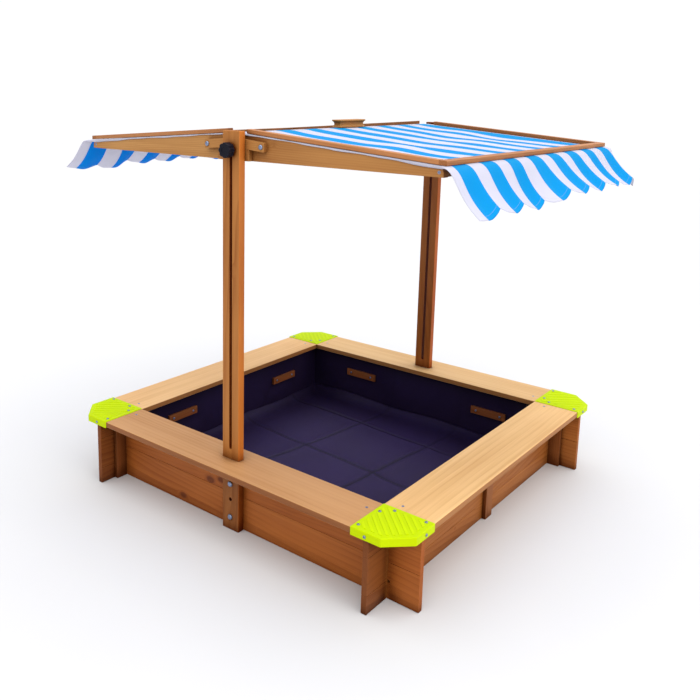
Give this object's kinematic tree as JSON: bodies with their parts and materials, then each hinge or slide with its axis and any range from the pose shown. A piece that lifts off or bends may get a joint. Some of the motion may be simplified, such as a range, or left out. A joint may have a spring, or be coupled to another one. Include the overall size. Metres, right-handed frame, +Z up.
{
  "type": "sandbox with sliding roof",
  "caption": "Square wooden sandbox with seat boards, corner caps and a cloth liner; a striped fabric gable roof slides down two slotted posts to become its cover.",
  "frame": {"origin": "on the ground at the middle of the box", "axes": "+Z up; the posts stand on the Y axis, front post at -Y; the ridge runs along Y, 13 mm to -X of the posts, and the roof falls towards -X and +X"},
  "size_m": [1.428, 1.2048, 1.1293],
  "materials": {
    "side_wood": "stained softwood, satin",
    "seat_wood": "oiled softwood, satin",
    "post_wood": "stained softwood, satin",
    "roof_wood": "stained softwood, satin",
    "corner_plastic": "moulded, ribbed",
    "liner_cloth": "plain weave",
    "roof_cloth": "plain weave, striped",
    "knob_plastic": "moulded",
    "zinc": "zinc plated"
  },
  "bodies": {
    "base": {"back_board_lower": "side_wood", "back_board_upper": "side_wood", "clip_screws": "zinc", "corner_cleats_back_left": "side_wood", "corner_cleats_back_right": "side_wood", "corner_cleats_front_left": "side_wood", "corner_cleats_front_right": "side_wood", "corner_plate_back_left": "corner_plastic", "corner_plate_back_right": "corner_plastic", "corner_plate_front_left": "corner_plastic", "corner_plate_front_right": "corner_plastic", "front_board_lower": "side_wood", "front_board_upper": "side_wood", "ground_liner": "liner_cloth", "left_board_middle": "side_wood", "left_board_starter": "side_wood", "left_board_top": "side_wood", "liner_clips": "roof_wood", "middle_cleat_left": "side_wood", "middle_cleat_right": "side_wood", "plate_screws": "zinc", "post_back": "post_wood", "post_bolts": "zinc", "post_front": "post_wood", "right_board_middle": "side_wood", "right_board_starter": "side_wood", "right_board_top": "side_wood", "seat_back": "seat_wood", "seat_front": "seat_wood", "seat_left": "seat_wood", "seat_right": "seat_wood", "seat_screws": "zinc"},
    "canopy": {"batten_screws": "zinc", "eave_batten_left": "roof_wood", "eave_batten_right": "roof_wood", "eave_rail_left": "roof_wood", "eave_rail_right": "roof_wood", "gable_batten_back_left": "roof_wood", "gable_batten_back_right": "roof_wood", "gable_batten_front_left": "roof_wood", "gable_batten_front_right": "roof_wood", "gable_beam_back_left": "roof_wood", "gable_beam_back_right": "roof_wood", "gable_beam_front_left": "roof_wood", "gable_beam_front_right": "roof_wood", "handle_screws": "zinc", "knob_bolts": "zinc", "knob_washers": "zinc", "rail_screws": "zinc", "ridge_handle": "roof_wood", "ridge_rail": "roof_wood", "roof_cloth": "roof_cloth", "slide_block_back": "roof_wood", "slide_block_front": "roof_wood", "splice_bolts": "zinc", "splice_plate_back": "roof_wood", "splice_plate_front": "roof_wood"},
    "front_knob": {"knob_front": "knob_plastic"},
    "back_knob": {"knob_back": "knob_plastic"}
  },
  "joints": [
    {"name": "roof_slide", "type": "slide", "parent": "base", "child": "canopy", "axis": [0, 0, 1], "range_m": [-0.8155, 0]},
    {"name": "front_knob_turn", "type": "hinge", "parent": "canopy", "child": "front_knob", "pos_m": [0, -0.54, 1.062], "axis": [0, 1, 0], "continuous": true},
    {"name": "back_knob_turn", "type": "hinge", "parent": "canopy", "child": "back_knob", "pos_m": [0, 0.54, 1.062], "axis": [0, 1, 0], "continuous": true}
  ]
}
